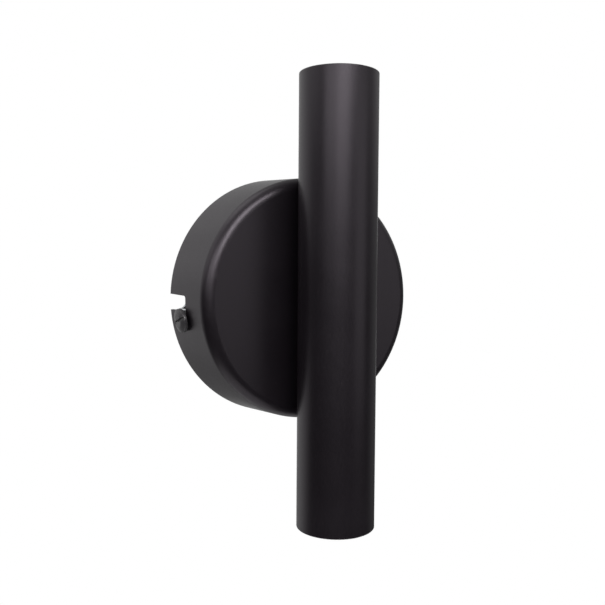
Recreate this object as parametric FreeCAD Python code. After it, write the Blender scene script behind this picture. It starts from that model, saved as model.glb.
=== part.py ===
"""Tube wall light: a round cup on the wall with an open vertical tube across its front.

Millimetres. The wall is the plane y = 0, the light stands out of it towards -Y, +Z is up and
+X is to the right of someone who faces the light. The origin is the middle of the cup, on the
wall. Depths below are distances in front of the wall.
"""

import FreeCAD
import Part
import math
import os

from FreeCAD import Vector

# ---------------------------------------------------------------- cup
cup_diameter = 100.0
cup_draft = 1.6
cup_depth = 29.5
cup_edge_radius = 4.4
cup_sheet = 1.0
cup_rim_round = 0.3

# ---------------------------------------------------------------- tube
tube_diameter = 30.5
tube_wall = 1.0
tube_length = 174.5
tube_drop = 0.95
tube_to_cup = 0.5
tube_end_round = 0.35

# ---------------------------------------------------------------- bayonet slots and side screws
lock_angle = 9.3
bayonet_turn = 7.6
slot_width = 5.2
slot_depth_from_wall = 10.8
slot_end_round = 2.5
mouth_width = 5.8
mouth_corner_round = 1.2
mouth_flare = 0.6
leg_corner_round = 0.6

side_screw_diameter = 4.0
side_screw_length = 8.0
side_head_diameter = 9.5
side_head_rim = 1.4
side_head_dome = 0.8
side_head_slot = 1.1
side_head_slot_depth = 1.2
side_head_to_skirt = 0.25
left_slot_spin = 35.0
right_slot_spin = 65.0

# ---------------------------------------------------------------- wall bracket
bracket_sheet = 1.5
bracket_width = 22.0
bracket_bend_radius = 1.5
ear_width = 7.0
ear_to_skirt = 0.3
ear_past_screw = 5.0
shoulder_length = 9.0
shoulder_round = 6.0
neck_round = 2.0
cable_hole_diameter = 14.0
wall_screw_pitch = 60.0
wall_screw_hole = 5.0
bracket_earth_place = -16.0

# ---------------------------------------------------------------- screws, washers, ring tags
thread_clearance = 0.05
through_clearance = 0.15
m4_diameter = 4.0
m4_head_diameter = 7.6
m4_head_height = 2.4
m3_diameter = 3.0
m3_head_diameter = 5.2
m3_head_height = 1.8
m25_diameter = 2.5
m25_head_diameter = 4.4
m25_head_height = 1.6
screw_slot_share = 0.5
driver_slot = 0.9
m4_washer_diameter = 8.4
m4_washer_thickness = 0.8
tag_thickness = 0.8
tag_ring_diameter = 8.0
tag_barrel_diameter = 3.4
tag_barrel_start = 5.2
tag_barrel_length = 5.0

# ---------------------------------------------------------------- hollow rod through tube and cup
rod_diameter = 10.0
rod_bore = 7.0
rod_past_nut = 1.0
rod_chamfer = 0.5
cup_nut_thickness = 4.0
tube_nut_thickness = 3.0
nut_across_flats = 14.0
nut_chamfer_share = 0.6
lock_washer_diameter = 16.0
lock_washer_thickness = 0.8
lock_washer_teeth = 12
lock_washer_tooth_gap = 1.1
lock_washer_ring = 1.5
spacer_diameter = 13.0
bush_wall = 0.6
bush_length = 4.0
bush_flange = 0.8
bush_flange_diameter = 9.2

# ---------------------------------------------------------------- strap in the cup
strap_sheet = 1.2
strap_width = 16.0
strap_flat_half = 11.0
strap_slope = 4.6
strap_lift = 5.3
strap_top = 25.0
head_earth_height = 20.0

# ---------------------------------------------------------------- terminal block
pole_pitch = 11.0
pole_count = 3
block_top = -20.0
block_length = 18.0
block_base_height = 7.9
block_height = 14.0
barrel_radius = 3.2
tower_radius = 2.6
wire_hole_radius = 2.45
clamp_outer_radius = 2.35
clamp_bore_radius = 1.7
clamp_length = 14.0
clamp_screw_pitch = 10.0
clamp_screw_diameter = 2.6
clamp_head_diameter = 3.8
clamp_head_height = 1.6
clamp_head_sunk = 0.6
tower_clearance = 0.1
web_notch = 4.0

# ---------------------------------------------------------------- bracket that carries the holders
bridge_sheet = 1.2
bridge_width = 12.0
bridge_half_height = 16.0
bridge_bend_radius = 1.0
bridge_to_tube = 0.1
bridge_past_screw = 2.2

# ---------------------------------------------------------------- lampholders
holder_diameter = 19.0
holder_height = 16.0
holder_chamfer = 0.6
pin_pitch = 9.0
holder_screw_offset = 5.8
holder_screw_hole = 3.4
holder_counterbore = 5.8
holder_counterbore_depth = 2.6
pocket_length = 3.6
pocket_width = 1.9
pocket_floor = 4.9
contact_sheet = 0.35
contact_width = 3.0
contact_height = 9.5
contact_gap = 0.06
lead_recess = 2.5
arm_lead_hole = 3.2
screw_past_sheet = 0.8

# ---------------------------------------------------------------- bulbs
bulb_lift = 0.3
base_diameter = 14.4
base_height = 10.5
base_collar_height = 3.0
base_waist_diameter = 13.0
base_foot_round = 0.8
base_edge_round = 0.3
base_collar_slope = 0.8
plug_height = 2.0
envelope_diameter = 14.4
envelope_wall = 0.8
envelope_length = 37.0
envelope_tip_radius = 6.2
envelope_clearance = 0.05
pin_wire = 0.8
pin_loop_width = 2.4
pin_length = 6.5
board_width = 8.0
board_thickness = 1.0
board_length = 30.0
chip_width = 2.8
chip_height = 3.2
chip_thickness = 0.7
chip_rows = 5
chip_columns = 2
chip_row_pitch = 5.2
chip_column_pitch = 3.8
chip_first_row = 5.0

# ---------------------------------------------------------------- leads
lead_diameter = 2.0
lead_core = 1.0
lead_pitch = 2.2
lead_below_arm = 3.5
lead_straight = 8.0
lead_into_block = 1.5
lead_core_length = 8.0
arc_share = 0.45

# ---------------------------------------------------------------- worked out from the values above
cup_radius = cup_diameter / 2
cup_front_radius = cup_radius - cup_draft
tube_radius = tube_diameter / 2
tube_bore_radius = tube_radius - tube_wall
tube_axis_depth = cup_depth + tube_to_cup + tube_radius
rod_radius = rod_diameter / 2
rod_hole_radius = rod_radius + through_clearance
bridge_depth = (
    tube_axis_depth - math.sqrt(tube_bore_radius**2 - (bridge_width / 2) ** 2) + bridge_to_tube
)
bridge_front_depth = bridge_depth + bridge_sheet
tube_nut_depth = bridge_front_depth + lock_washer_thickness
rod_front_depth = tube_nut_depth + tube_nut_thickness + rod_past_nut
cup_floor_depth = cup_depth - cup_sheet
strap_depth = cup_floor_depth - strap_sheet
cup_nut_depth = strap_depth - lock_washer_thickness
rod_rear_depth = cup_nut_depth - cup_nut_thickness - rod_past_nut
block_base_depth = strap_depth - strap_lift
clamp_depth = block_base_depth - block_base_height
block_front_depth = block_base_depth - block_height
block_middle = block_top - block_length / 2
holder_top = bridge_half_height + holder_height
bulb_bottom = holder_top + bulb_lift
envelope_bottom = bulb_bottom + base_height
bush_bore_radius = rod_bore / 2 - bush_wall - thread_clearance

OUTWARDS = Vector(0, -1, 0)
WALLWARD = Vector(0, 1, 0)
UP = Vector(0, 0, 1)
DOWN = Vector(0, 0, -1)
LEFT = Vector(-1, 0, 0)
RIGHT = Vector(1, 0, 0)


# ---------------------------------------------------------------- shapes that several pieces use
def at(x, depth, z):
    """The point at a depth in front of the wall."""
    return Vector(x, -depth, z)


def rod(radius, start, end):
    """A round bar from one point to another."""
    along = end - start
    return Part.makeCylinder(radius, along.Length, start, along)


def pipe(radius, bore_radius, start, end):
    return rod(radius, start, end).cut(rod(bore_radius, start, end))


def box(low, high):
    """A box between two corners, given in any order."""
    size = [abs(a - b) for a, b in zip(low, high)]
    corner = Vector(*[min(a, b) for a, b in zip(low, high)])
    return Part.makeBox(*size, corner)


def joined(shapes):
    whole = shapes[0].multiFuse(shapes[1:]) if len(shapes) > 1 else shapes[0]
    return whole.removeSplitter()


def corner_arc(before, corner, after, radius):
    """The tangent arc at a corner, as its two ends and its middle."""
    back = (before - corner).normalize()
    ahead = (after - corner).normalize()
    half = back.getAngle(ahead) / 2
    reach = radius / math.tan(half)
    middle = corner + (back + ahead).normalize() * (radius / math.sin(half) - radius)
    return corner + back * reach, middle, corner + ahead * reach


def rounded_face(corners):
    """A flat face from its corners in order, each with its rounding radius (0 for sharp)."""
    points = [point for point, _ in corners]
    pieces = []
    for index, (point, radius) in enumerate(corners):
        if radius:
            after = points[(index + 1) % len(points)]
            pieces.append(corner_arc(points[index - 1], point, after, radius))
        else:
            pieces.append((point, None, point))
    edges = []
    for index, (start, middle, end) in enumerate(pieces):
        following = pieces[(index + 1) % len(pieces)][0]
        if middle:
            edges.append(Part.Arc(start, middle, end).toShape())
        if (following - end).Length > 1e-6:
            edges.append(Part.LineSegment(end, following).toShape())
    return Part.Face(Part.Wire(edges))


def turned(corners, origin, axis):
    """A solid of revolution from a rounded outline."""
    return rounded_face(corners).revolve(origin, axis, 360)


def placed(shape, position, direction, spin=0):
    """A copy of a shape made along +Z at the origin, spun about +Z, then pointed and moved."""
    copy = shape.copy()
    facing = FreeCAD.Rotation(UP, direction)
    spun = FreeCAD.Rotation(UP, spin)
    copy.Placement = FreeCAD.Placement(position, facing.multiply(spun))
    return copy


def about_rod(shape, degrees):
    """A copy turned about the light's own axis, square to the wall; positive lifts the right side."""
    copy = shape.copy()
    copy.rotate(Vector(0, 0, 0), OUTWARDS, degrees)
    return copy


def other_end(shape):
    """The same piece at the lower end of the tube."""
    return about_rod(shape, 180)


def skirt_radius(depth):
    """Outer radius of the cup's tapered skirt."""
    return cup_radius - cup_draft * depth / cup_depth


def machine_screw(diameter, length, head_diameter, rim, dome, slot, slot_deep):
    """A slotted screw along +Z, with the underside of its head at z = 0."""
    radius = diameter / 2
    head_radius = head_diameter / 2
    tip = radius * 0.25
    body = turned(
        [
            (Vector(0, 0, -length), 0),
            (Vector(radius - tip, 0, -length), 0),
            (Vector(radius, 0, tip - length), 0),
            (Vector(radius, 0, 0), 0),
            (Vector(head_radius, 0, 0), 0),
            (Vector(head_radius, 0, rim), rim * 0.3),
            (Vector(head_radius * 0.55, 0, rim + dome), head_radius * 0.4),
            (Vector(0, 0, rim + dome), 0),
        ],
        Vector(0, 0, 0),
        UP,
    )
    top = rim + dome
    cut = box((-head_radius, -slot / 2, top - slot_deep), (head_radius, slot / 2, top + 1))
    return body.cut(cut)


def small_screw(diameter, length, head_diameter, head_height):
    """A cheese-head screw, its slot half as deep as the head."""
    rim = head_height * 0.85
    deep = head_height * screw_slot_share
    return machine_screw(
        diameter, length, head_diameter, rim, head_height - rim, driver_slot, deep
    )


def hexagon_nut(thickness):
    """A thin nut for the hollow rod, its underside at z = 0, with chamfered corners."""
    corner_radius = nut_across_flats / 2 / math.cos(math.pi / 6)
    corners = []
    for index in range(6):
        angle = math.radians(60 * index)
        place = Vector(corner_radius * math.cos(angle), corner_radius * math.sin(angle), 0)
        corners.append((place, 0))
    prism = rounded_face(corners).extrude(Vector(0, 0, thickness))
    fall = (corner_radius - nut_across_flats / 2) * nut_chamfer_share
    barrel = turned(
        [
            (Vector(0, 0, 0), 0),
            (Vector(nut_across_flats / 2, 0, 0), 0),
            (Vector(corner_radius, 0, fall), 0),
            (Vector(corner_radius, 0, thickness - fall), 0),
            (Vector(nut_across_flats / 2, 0, thickness), 0),
            (Vector(0, 0, thickness), 0),
        ],
        Vector(0, 0, 0),
        UP,
    )
    hole = rod(rod_radius + thread_clearance, Vector(0, 0, -1), Vector(0, 0, thickness + 1))
    return prism.common(barrel).cut(hole)


def lock_washer():
    """An internal-tooth washer for the hollow rod, its underside at z = 0."""
    washer = pipe(
        lock_washer_diameter / 2,
        rod_hole_radius,
        Vector(0, 0, 0),
        Vector(0, 0, lock_washer_thickness),
    )
    gap_end = lock_washer_diameter / 2 - lock_washer_ring
    gap = box((0, -lock_washer_tooth_gap / 2, -1), (gap_end, lock_washer_tooth_gap / 2, 2))
    for index in range(lock_washer_teeth):
        notch = gap.copy()
        notch.rotate(Vector(0, 0, 0), UP, 360 * index / lock_washer_teeth)
        washer = washer.cut(notch)
    return washer


def m4_washer():
    return pipe(
        m4_washer_diameter / 2,
        m4_diameter / 2 + through_clearance,
        Vector(0, 0, 0),
        Vector(0, 0, m4_washer_thickness),
    )


def ring_tag():
    """A crimped ring tag, flat on z = 0, with its barrel along +X."""
    barrel_radius_outer = tag_barrel_diameter / 2
    barrel_end = tag_barrel_start + tag_barrel_length
    ring = rod(tag_ring_diameter / 2, Vector(0, 0, 0), Vector(0, 0, tag_thickness))
    neck = box((0, -barrel_radius_outer, 0), (tag_barrel_start + 0.5, barrel_radius_outer, tag_thickness))
    barrel = rod(
        barrel_radius_outer,
        Vector(tag_barrel_start, 0, barrel_radius_outer),
        Vector(barrel_end, 0, barrel_radius_outer),
    )
    hole = rod(m4_diameter / 2 + through_clearance, Vector(0, 0, -1), Vector(0, 0, 2))
    mouth = rod(
        lead_diameter / 2 + thread_clearance,
        Vector(tag_barrel_start, 0, barrel_radius_outer),
        Vector(barrel_end + 1, 0, barrel_radius_outer),
    )
    return joined([ring, neck, barrel]).cut(hole).cut(mouth)


def lead_path(name, points):
    """Straight runs joined by tangent arcs; prints the radii."""
    edges = []
    radii = []
    start = points[0]
    for before, corner, after in zip(points, points[1:], points[2:]):
        turn = (corner - before).getAngle(after - corner)
        shorter = min((corner - before).Length, (after - corner).Length)
        radius = arc_share * shorter / math.tan(turn / 2)
        arc_start, middle, arc_end = corner_arc(before, corner, after, radius)
        edges.append(Part.LineSegment(start, arc_start).toShape())
        edges.append(Part.Arc(arc_start, middle, arc_end).toShape())
        radii.append(round(radius, 1))
        start = arc_end
    edges.append(Part.LineSegment(start, points[-1]).toShape())
    path = Part.Wire(edges)
    print(name, "length", round(path.Length, 1), "bend radii", radii)
    return path


def lead(name, points, first_core, last_core):
    """An insulated lead along its points, with a bare core past each end."""
    path = lead_path(name, points)
    first_way = (points[1] - points[0]).normalize()
    last_way = (points[-1] - points[-2]).normalize()
    circle = Part.Wire(Part.makeCircle(lead_diameter / 2, points[0], first_way))
    jacket = path.makePipeShell([circle], True, False)
    section = math.pi * (lead_diameter / 2) ** 2
    print(name, "volume ratio", round(jacket.Volume / (section * path.Length), 4))
    cores = []
    if first_core:
        cores.append(rod(lead_core / 2, points[0] + first_way, points[0] - first_way * first_core))
    if last_core:
        cores.append(rod(lead_core / 2, points[-1] - last_way, points[-1] + last_way * last_core))
    return joined([jacket] + cores)


# ---------------------------------------------------------------- cup
def slot_cutter():
    """The punch for one L-shaped slot: the screw points along +X, and the mouth lies below it."""
    mouth_middle = -skirt_radius(slot_depth_from_wall) * math.sin(math.radians(bayonet_turn))
    mouth_low = mouth_middle - mouth_width / 2
    mouth_high = mouth_middle + mouth_width / 2
    leg_deep = slot_depth_from_wall + slot_width / 2
    leg_shallow = slot_depth_from_wall - slot_width / 2
    leg_end = slot_width / 2
    past_rim = -2.0
    inside = cup_radius * 0.8
    corners = [
        (at(inside, past_rim, mouth_low - mouth_flare), 0),
        (at(inside, leg_deep, mouth_low), mouth_corner_round),
        (at(inside, leg_deep, leg_end), slot_end_round),
        (at(inside, leg_shallow, leg_end), slot_end_round),
        (at(inside, leg_shallow, mouth_high), leg_corner_round),
        (at(inside, past_rim, mouth_high), 0),
    ]
    return rounded_face(corners).extrude(RIGHT * (cup_radius * 0.4))


def back_cup():
    """Drawn cup: tapered skirt, rounded front edge, and two slots half a turn apart."""
    inner_edge = cup_edge_radius - cup_sheet
    cup = turned(
        [
            (at(0, cup_depth, 0), 0),
            (at(cup_front_radius, cup_depth, 0), cup_edge_radius),
            (at(cup_radius, 0, 0), cup_rim_round),
            (at(cup_radius - cup_sheet, 0, 0), cup_rim_round),
            (at(skirt_radius(cup_floor_depth) - cup_sheet, cup_floor_depth, 0), inner_edge),
            (at(0, cup_floor_depth, 0), 0),
        ],
        Vector(0, 0, 0),
        WALLWARD,
    )
    cup = cup.cut(rod(rod_hole_radius, at(0, cup_depth + 1, 0), at(0, cup_floor_depth - 1, 0)))
    right_slot = about_rod(slot_cutter(), lock_angle)
    left_slot = about_rod(right_slot, 180)
    return cup.cut(right_slot).cut(left_slot)


# ---------------------------------------------------------------- tube
def tube_shell():
    """Straight tube, open at both ends, with a hole for the hollow rod in its rear wall."""
    low = -tube_length / 2 - tube_drop
    high = tube_length / 2 - tube_drop
    rear = -tube_axis_depth
    tube = turned(
        [
            (Vector(tube_bore_radius, rear, low), tube_end_round),
            (Vector(tube_radius, rear, low), tube_end_round),
            (Vector(tube_radius, rear, high), tube_end_round),
            (Vector(tube_bore_radius, rear, high), tube_end_round),
        ],
        at(0, tube_axis_depth, 0),
        UP,
    )
    return tube.cut(rod(rod_hole_radius, at(0, tube_axis_depth, 0), at(0, cup_depth, 0)))


def tube_spacer():
    """Saddle ring between the cup's flat face and the round back of the tube."""
    ring = pipe(spacer_diameter / 2, rod_hole_radius, at(0, cup_depth, 0), at(0, tube_axis_depth, 0))
    seat = rod(
        tube_radius + thread_clearance,
        at(0, tube_axis_depth, -spacer_diameter),
        at(0, tube_axis_depth, spacer_diameter),
    )
    front = box(
        (-spacer_diameter, -tube_axis_depth - 1, -spacer_diameter),
        (spacer_diameter, -tube_axis_depth + tube_radius / 2, spacer_diameter),
    )
    return ring.cut(seat).cut(front)


# ---------------------------------------------------------------- hollow rod and what it tightens
def hollow_nipple():
    """Threaded hollow rod, chamfered at both ends."""
    bore = rod_bore / 2
    return turned(
        [
            (at(bore, rod_front_depth, 0), 0),
            (at(rod_radius - rod_chamfer, rod_front_depth, 0), 0),
            (at(rod_radius, rod_front_depth - rod_chamfer, 0), 0),
            (at(rod_radius, rod_rear_depth + rod_chamfer, 0), 0),
            (at(rod_radius - rod_chamfer, rod_rear_depth, 0), 0),
            (at(bore, rod_rear_depth, 0), 0),
        ],
        Vector(0, 0, 0),
        WALLWARD,
    )


def bush():
    """Plastic bush, flange on z = 0 and sleeve down the rod's bore along -Z."""
    sleeve = rod_bore / 2 - thread_clearance
    return turned(
        [
            (Vector(bush_bore_radius, 0, -bush_length), 0),
            (Vector(sleeve, 0, -bush_length), 0),
            (Vector(sleeve, 0, 0), 0),
            (Vector(bush_flange_diameter / 2, 0, 0), 0),
            (Vector(bush_flange_diameter / 2, 0, bush_flange), bush_flange * 0.4),
            (Vector(bush_bore_radius, 0, bush_flange), bush_flange * 0.4),
        ],
        Vector(0, 0, 0),
        UP,
    )


def nipple_bushes():
    front = placed(bush(), at(0, rod_front_depth, 0), OUTWARDS)
    rear = placed(bush(), at(0, rod_rear_depth, 0), WALLWARD)
    return Part.makeCompound([front, rear])


def terminal_strap():
    """Joggled strip, clamped flat in the cup, raised at both ends for the block and the earth."""
    bottom = block_top - block_length
    raised = block_base_depth
    bend = strap_flat_half
    rise = strap_flat_half + strap_slope
    shift = strap_sheet * 0.4
    half = strap_width / 2
    corners = [
        (at(-half, raised, strap_top), 0),
        (at(-half, raised, rise), strap_sheet),
        (at(-half, strap_depth, bend), strap_sheet),
        (at(-half, strap_depth, -bend), strap_sheet),
        (at(-half, raised, -rise), strap_sheet),
        (at(-half, raised, bottom), 0),
        (at(-half, raised + strap_sheet, bottom), 0),
        (at(-half, raised + strap_sheet, -rise - shift), strap_sheet),
        (at(-half, cup_floor_depth, -bend - shift), strap_sheet),
        (at(-half, cup_floor_depth, bend + shift), strap_sheet),
        (at(-half, raised + strap_sheet, rise + shift), strap_sheet),
        (at(-half, raised + strap_sheet, strap_top), 0),
    ]
    strap = rounded_face(corners).extrude(RIGHT * strap_width)
    strap = strap.cut(rod(rod_hole_radius, at(0, cup_floor_depth + 1, 0), at(0, strap_depth - 1, 0)))
    earth = rod(
        m4_diameter / 2 + thread_clearance,
        at(0, raised - 1, head_earth_height),
        at(0, raised + strap_sheet + 1, head_earth_height),
    )
    strap = strap.cut(earth)
    for x in (-pole_pitch / 2, pole_pitch / 2):
        hole = rod(
            m25_diameter / 2 + thread_clearance,
            at(x, raised - 1, block_middle),
            at(x, raised + strap_sheet + 1, block_middle),
        )
        strap = strap.cut(hole)
    return strap


# ---------------------------------------------------------------- terminal block
def pole_places():
    """Sideways places of the poles: earth on the left, neutral, live."""
    return [pole_pitch * (index - (pole_count - 1) / 2) for index in range(pole_count)]


def clamp_screw_heights():
    return [block_middle - clamp_screw_pitch / 2, block_middle + clamp_screw_pitch / 2]


def terminal_block():
    """Moulded block: one barrel and two screw towers for each pole, with two fixing holes."""
    half = pole_places()[-1] + barrel_radius
    bottom = block_top - block_length
    body = [box((-half, -block_base_depth, bottom), (half, -clamp_depth, block_top))]
    for x in pole_places():
        body.append(rod(barrel_radius, at(x, clamp_depth, bottom), at(x, clamp_depth, block_top)))
        for z in clamp_screw_heights():
            body.append(rod(tower_radius, at(x, clamp_depth, z), at(x, block_front_depth, z)))
    shape = joined(body)
    head_hole = clamp_head_diameter / 2 + tower_clearance
    head_floor = block_front_depth + clamp_head_sunk + clamp_head_height
    for x in pole_places():
        shape = shape.cut(
            rod(wire_hole_radius, at(x, clamp_depth, bottom - 1), at(x, clamp_depth, block_top + 1))
        )
        for z in clamp_screw_heights():
            shape = shape.cut(rod(head_hole, at(x, block_front_depth - 1, z), at(x, head_floor, z)))
            shank_hole = clamp_screw_diameter / 2 + tower_clearance
            shape = shape.cut(rod(shank_hole, at(x, head_floor - 1, z), at(x, clamp_depth, z)))
    for x in (-pole_pitch / 2, pole_pitch / 2):
        hole = rod(
            m25_diameter / 2 + through_clearance,
            at(x, block_base_depth + 1, block_middle),
            at(x, clamp_depth - 1, block_middle),
        )
        shape = shape.cut(hole)
        gap = pole_pitch / 2 - barrel_radius
        for end, inward in ((block_top, -1), (bottom, 1)):
            notch = box(
                (x - gap, -block_base_depth - 1, end - inward),
                (x + gap, -clamp_depth + 1, end + inward * web_notch),
            )
            shape = shape.cut(notch)
    return shape


def terminal_clamps():
    """One brass tube for each pole, with two tapped holes."""
    clamps = []
    for x in pole_places():
        low = at(x, clamp_depth, block_middle - clamp_length / 2)
        high = at(x, clamp_depth, block_middle + clamp_length / 2)
        clamp = pipe(clamp_outer_radius, clamp_bore_radius, low, high)
        for z in clamp_screw_heights():
            hole = rod(
                clamp_screw_diameter / 2 + thread_clearance,
                at(x, clamp_depth, z),
                at(x, clamp_depth - clamp_outer_radius - 1, z),
            )
            clamp = clamp.cut(hole)
        clamps.append(clamp)
    return Part.makeCompound(clamps)


def terminal_screws():
    """Two screws for each pole, their tips just through the wall of the clamp."""
    head_base = block_front_depth + clamp_head_sunk + clamp_head_height
    tip_depth = clamp_depth - clamp_bore_radius + thread_clearance
    screw = small_screw(
        clamp_screw_diameter, tip_depth - head_base, clamp_head_diameter, clamp_head_height
    )
    screws = []
    for index, x in enumerate(pole_places()):
        for row, z in enumerate(clamp_screw_heights()):
            spin = 40 + 70 * index + 25 * row
            screws.append(placed(screw, at(x, head_base, z), WALLWARD, spin))
    return Part.makeCompound(screws)


def terminal_block_screws():
    length = block_base_height + strap_sheet + screw_past_sheet
    screw = small_screw(m25_diameter, length, m25_head_diameter, m25_head_height)
    left = placed(screw, at(-pole_pitch / 2, clamp_depth, block_middle), WALLWARD, 20)
    right = placed(screw, at(pole_pitch / 2, clamp_depth, block_middle), WALLWARD, 75)
    return Part.makeCompound([left, right])


# ---------------------------------------------------------------- earth points
def earth_point(seat, direction, spin, screw_spin, sheet, past_sheet):
    """Tag, washer and screw on a seat that faces a direction; spin points the tag's barrel."""
    tag = placed(ring_tag(), seat, direction, spin)
    washer_seat = seat + direction * tag_thickness
    washer = placed(m4_washer(), washer_seat, direction)
    screw_seat = washer_seat + direction * m4_washer_thickness
    length = tag_thickness + m4_washer_thickness + sheet + past_sheet
    screw = small_screw(m4_diameter, length, m4_head_diameter, m4_head_height)
    return tag, washer, placed(screw, screw_seat, direction, screw_spin)


def head_earth_point():
    seat = at(0, block_base_depth, head_earth_height)
    return earth_point(seat, WALLWARD, 180, 25, strap_sheet, screw_past_sheet)


def bracket_earth_seat():
    tilt = math.radians(lock_angle)
    return at(
        bracket_earth_place * math.cos(tilt), bracket_sheet, bracket_earth_place * math.sin(tilt)
    )


def bracket_earth_point():
    return earth_point(bracket_earth_seat(), OUTWARDS, 90, 70, bracket_sheet, -through_clearance)


# ---------------------------------------------------------------- wall bracket
def ear_distance():
    """From the light's axis to the outer face of an ear, so that its corners clear the skirt."""
    front = slot_depth_from_wall + ear_past_screw
    room = skirt_radius(front) - cup_sheet - ear_to_skirt
    return math.sqrt(room**2 - (ear_width / 2) ** 2)


def mounting_bracket():
    """Strip flat on the wall with a bent, tapped ear at each end, in line with the side screws."""
    reach = ear_distance()
    front = slot_depth_from_wall + ear_past_screw
    half = bracket_width / 2
    outer_bend = bracket_bend_radius + bracket_sheet
    corners = [
        (at(-reach, 0, -half), outer_bend),
        (at(-reach, front, -half), 0),
        (at(-reach + bracket_sheet, front, -half), 0),
        (at(-reach + bracket_sheet, bracket_sheet, -half), bracket_bend_radius),
        (at(reach - bracket_sheet, bracket_sheet, -half), bracket_bend_radius),
        (at(reach - bracket_sheet, front, -half), 0),
        (at(reach, front, -half), 0),
        (at(reach, 0, -half), outer_bend),
    ]
    strip = rounded_face(corners).extrude(UP * bracket_width)
    ear = ear_width / 2
    shoulder = reach - outer_bend - shoulder_length
    neck = reach - outer_bend
    outline = [
        (at(reach + 1, -1, ear), 0),
        (at(neck, -1, ear), neck_round),
        (at(shoulder, -1, half), shoulder_round),
        (at(-shoulder, -1, half), shoulder_round),
        (at(-neck, -1, ear), neck_round),
        (at(-reach - 1, -1, ear), 0),
        (at(-reach - 1, -1, -ear), 0),
        (at(-neck, -1, -ear), neck_round),
        (at(-shoulder, -1, -half), shoulder_round),
        (at(shoulder, -1, -half), shoulder_round),
        (at(neck, -1, -ear), neck_round),
        (at(reach + 1, -1, -ear), 0),
    ]
    bracket = strip.common(rounded_face(outline).extrude(OUTWARDS * (front + 2)))
    holes = [(0, cable_hole_diameter / 2), (bracket_earth_place, m4_diameter / 2 + thread_clearance)]
    for side in (-1, 1):
        holes.append((side * wall_screw_pitch / 2, wall_screw_hole / 2))
    for x, radius in holes:
        bracket = bracket.cut(rod(radius, at(x, -1, 0), at(x, bracket_sheet + 1, 0)))
    tapped = side_screw_diameter / 2 + thread_clearance
    tapping = rod(
        tapped, at(-reach - 1, slot_depth_from_wall, 0), at(reach + 1, slot_depth_from_wall, 0)
    )
    return about_rod(bracket.cut(tapping), lock_angle)


def side_screw(direction, spin):
    """Slotted pan-head screw, its head just clear of the skirt."""
    head_edge = slot_depth_from_wall - side_head_diameter / 2
    seat = skirt_radius(head_edge) + side_head_to_skirt
    screw = machine_screw(
        side_screw_diameter,
        side_screw_length,
        side_head_diameter,
        side_head_rim,
        side_head_dome,
        side_head_slot,
        side_head_slot_depth,
    )
    position = direction * seat + at(0, slot_depth_from_wall, 0)
    return about_rod(placed(screw, position, direction, spin), lock_angle)


# ---------------------------------------------------------------- holders in the tube
def lampholder_bridge():
    """U-shaped strip: its back against the tube's rear wall, an arm across the tube each way."""
    front = tube_axis_depth + holder_screw_offset + bridge_past_screw
    half = bridge_width / 2
    top = bridge_half_height
    outer_bend = bridge_bend_radius + bridge_sheet
    corners = [
        (at(-half, bridge_depth, top), outer_bend),
        (at(-half, front, top), 0),
        (at(-half, front, top - bridge_sheet), 0),
        (at(-half, bridge_front_depth, top - bridge_sheet), bridge_bend_radius),
        (at(-half, bridge_front_depth, bridge_sheet - top), bridge_bend_radius),
        (at(-half, front, bridge_sheet - top), 0),
        (at(-half, front, -top), 0),
        (at(-half, bridge_depth, -top), outer_bend),
    ]
    bridge = rounded_face(corners).extrude(RIGHT * bridge_width)
    bridge = bridge.cut(
        rod(rod_hole_radius, at(0, bridge_depth - 1, 0), at(0, bridge_front_depth + 1, 0))
    )
    drills = [(x, 0, arm_lead_hole / 2) for x in (-pin_pitch / 2, pin_pitch / 2)]
    for offset in (-holder_screw_offset, holder_screw_offset):
        drills.append((0, offset, m3_diameter / 2 + thread_clearance))
    for x, offset, radius in drills:
        depth = tube_axis_depth + offset
        bridge = bridge.cut(rod(radius, at(x, depth, -top - 1), at(x, depth, top + 1)))
    return bridge


def lampholder():
    """Ceramic holder with two pin pockets, lead holes below them and two screw holes."""
    bottom = bridge_half_height
    radius = holder_diameter / 2
    body = turned(
        [
            (at(0, tube_axis_depth, bottom), 0),
            (at(radius, tube_axis_depth, bottom), holder_chamfer),
            (at(radius, tube_axis_depth, holder_top), holder_chamfer),
            (at(0, tube_axis_depth, holder_top), 0),
        ],
        at(0, tube_axis_depth, 0),
        UP,
    )
    middle = -tube_axis_depth
    for x in (-pin_pitch / 2, pin_pitch / 2):
        pocket = box(
            (x - pocket_length / 2, middle - pocket_width / 2, bottom + pocket_floor),
            (x + pocket_length / 2, middle + pocket_width / 2, holder_top + 1),
        )
        recess = rod(
            arm_lead_hole / 2,
            at(x, tube_axis_depth, bottom - 1),
            at(x, tube_axis_depth, bottom + lead_recess),
        )
        core_hole = rod(
            lead_core / 2 + through_clearance,
            at(x, tube_axis_depth, bottom),
            at(x, tube_axis_depth, bottom + pocket_floor + 1),
        )
        body = body.cut(pocket).cut(recess).cut(core_hole)
    for offset in (-holder_screw_offset, holder_screw_offset):
        depth = tube_axis_depth + offset
        hole = rod(holder_screw_hole / 2, at(0, depth, bottom - 1), at(0, depth, holder_top + 1))
        sink = rod(
            holder_counterbore / 2,
            at(0, depth, holder_top - holder_counterbore_depth),
            at(0, depth, holder_top + 1),
        )
        body = body.cut(hole).cut(sink)
    return body


def holder_contacts():
    """A pair of U-shaped spring contacts, standing on the pocket floors."""
    low = bridge_half_height + pocket_floor
    high = low + contact_height
    middle = -tube_axis_depth
    inner = pin_wire / 2 + contact_gap
    outer = inner + contact_sheet
    contacts = []
    for x in (-pin_pitch / 2, pin_pitch / 2):
        near = x - contact_width / 2
        far = x + contact_width / 2
        whole = box((near, middle - outer, low), (far, middle + outer, high))
        slot = box((near - 1, middle - inner, low + contact_sheet), (far + 1, middle + inner, high + 1))
        contacts.append(whole.cut(slot))
    return Part.makeCompound(contacts)


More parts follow.
